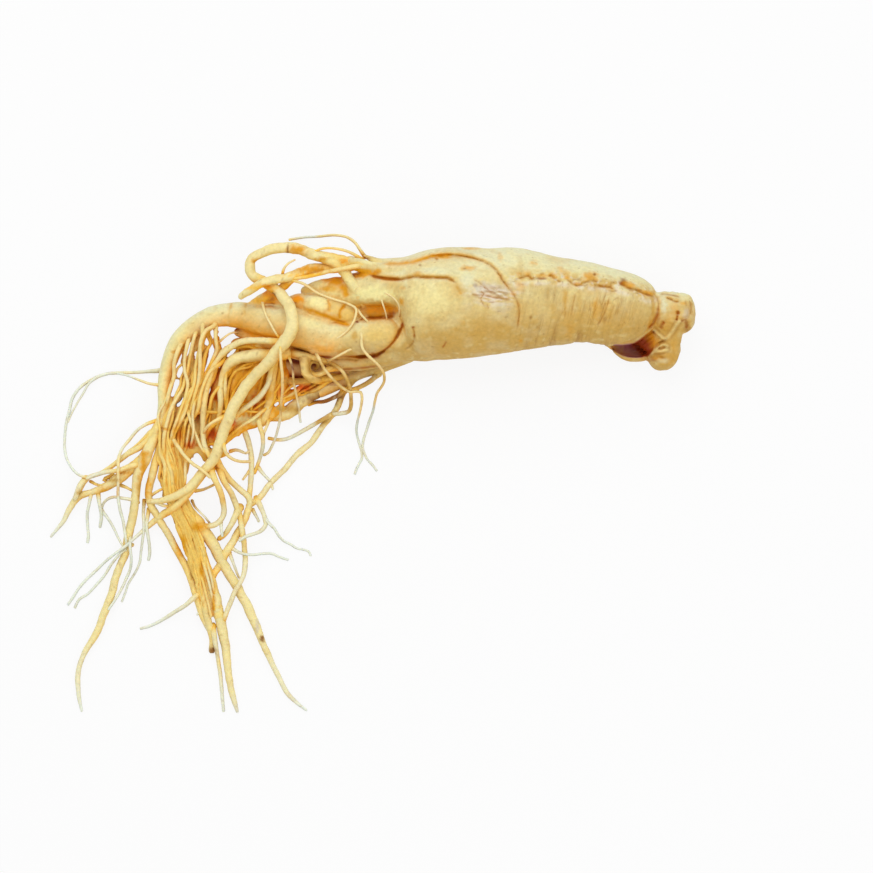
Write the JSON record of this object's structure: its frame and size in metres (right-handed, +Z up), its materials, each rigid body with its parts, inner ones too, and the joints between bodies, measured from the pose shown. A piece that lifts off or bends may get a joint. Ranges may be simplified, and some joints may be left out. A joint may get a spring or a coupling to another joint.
{
  "type": "ginseng root",
  "caption": "Fresh ginseng root lying on its side: thick taproot with a knobbly neck, splitting into legs, a looping side root and many trailing rootlets.",
  "frame": {"origin": "on the surface that the root lies on, under the middle of its overall box", "axes": "+X from the root tips towards the neck, +Y away from the trailing rootlets, +Z up"},
  "size_m": [0.2155, 0.1563, 0.0323],
  "materials": {
    "root_skin": "matt, waxy cream skin"
  },
  "bodies": {
    "root": {"ginseng_root": "root_skin"}
  },
  "joints": []
}
